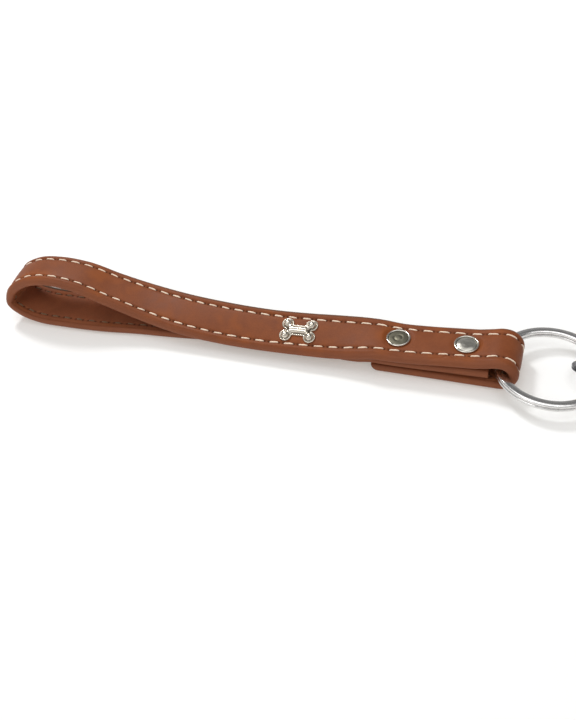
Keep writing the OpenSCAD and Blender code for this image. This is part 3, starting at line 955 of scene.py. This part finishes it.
# Each soft light's name, place, size and power.
SOFT_LIGHTS = [
    ("key", (-0.60, 0.55, 0.95), 0.22, 7.6),
    ("overhead", (0.1, 0.1, 1.2), 0.9, 2.6),
    ("front_fill", (-0.4, -0.7, 0.8), 0.5, 1.5),
]


def build_floor():
    """One flat sheet at height 0, as part of the stage."""
    half = FLOOR_SIZE / MM / 2
    corners = [(-half, -half, 0), (half, -half, 0), (half, half, 0), (-half, half, 0)]
    floor = make_mesh("floor", corners, [(0, 1, 2, 3)], smooth=False)
    floor.data.materials.append(paper("paper"))


def build_camera():
    """The photograph's view: from in front and above, turned left, and rolled a little."""
    e, yaw, roll = (math.radians(v) for v in (CAMERA_ELEVATION, CAMERA_YAW, CAMERA_ROLL))
    forward = Vector((math.sin(yaw) * math.cos(e), math.cos(yaw) * math.cos(e), -math.sin(e)))
    right = Vector((math.cos(yaw), -math.sin(yaw), 0))
    up = right.cross(forward)
    right, up = (right * math.cos(roll) + up * math.sin(roll),
                 up * math.cos(roll) - right * math.sin(roll))
    data = bpy.data.cameras.new("camera")
    data.sensor_width = CAMERA_SENSOR
    data.lens = CAMERA_LENS
    data.clip_start, data.clip_end = CAMERA_CLIP
    camera = bpy.data.objects.new("camera", data)
    turned = Matrix((right, up, -forward)).transposed().to_4x4()
    camera.matrix_world = Matrix.Translation(CAMERA_TARGET - forward * CAMERA_DISTANCE) @ turned
    bpy.context.scene.collection.objects.link(camera)
    bpy.context.scene.camera = camera


def soft_light(name, where, size, power):
    """A square soft box that points at the keychain."""
    data = bpy.data.lights.new(name, "AREA")
    data.size = size
    data.energy = power
    light = bpy.data.objects.new(name, data)
    light.location = where
    aim = LIGHT_TARGET - Vector(where)
    light.rotation_euler = aim.to_track_quat("-Z", "Y").to_euler()
    bpy.context.scene.collection.objects.link(light)


def build_world():
    """A studio: a plain horizon, patchy walls above it for metal to show, and a bright ceiling."""
    world = bpy.data.worlds.new("studio")
    bpy.context.scene.world = world
    world.use_nodes = True
    n = Nodes(world.node_tree)
    direction = n.add("ShaderNodeTexCoord").outputs["Generated"]
    parts = n.add("ShaderNodeSeparateXYZ", {"Vector": direction}).outputs
    patches = n.noise(direction, 2.6, 1.0, 0.4)
    front = n.ramp(parts["Y"], 0.15, -0.35)
    wall = n.math("ADD", n.ramp(patches, 0.44, 0.56, PATCH_DARK, PATCH_LIGHT),
                  n.math("MULTIPLY", front, FRONT_LEVEL))
    level = n.math("MAXIMUM", wall, n.ramp(parts["Z"], 0.88, 0.96, 0.0, CEILING_LEVEL))
    level = n.math("MULTIPLY", level, n.ramp(parts["Z"], WALL_FOOT, WALL_TOP))
    level = n.math("ADD", level, n.ramp(parts["Z"], WALL_TOP, WALL_FOOT, 0.0, HORIZON_LEVEL))
    grey = n.add("ShaderNodeCombineColor", {0: level, 1: level, 2: level}).outputs[0]
    background = world.node_tree.nodes["Background"]
    world.node_tree.links.new(grey, background.inputs["Color"])
    background.inputs["Strength"].default_value = WORLD_STRENGTH
    bpy.context.scene.view_settings.view_transform = "Standard"


# ---------------------------------------------------------------- build everything
build_cover()
build_lining()
build_core()
for stitch_row in STITCH_ROWS:
    build_stitches(*stitch_row)
build_rivet_cap("front_rivet_disc", FRONT_RIVET, dome=0.38, wear_and_shade=0.22, node="front_rivet_cap")
build_rivet_cap("rear_rivet_disc", REAR_RIVET, dome=0.10, wear_and_shade=1.0, node="rear_rivet_cap")
build_back_cap("front_rivet_back", FRONT_RIVET, "front_rivet_post")
build_back_cap("rear_rivet_back", REAR_RIVET, "rear_rivet_post")
build_bone()
build_bone_post()
build_rings()
build_floor()
build_world()
for soft_box in SOFT_LIGHTS:
    soft_light(*soft_box)
build_camera()
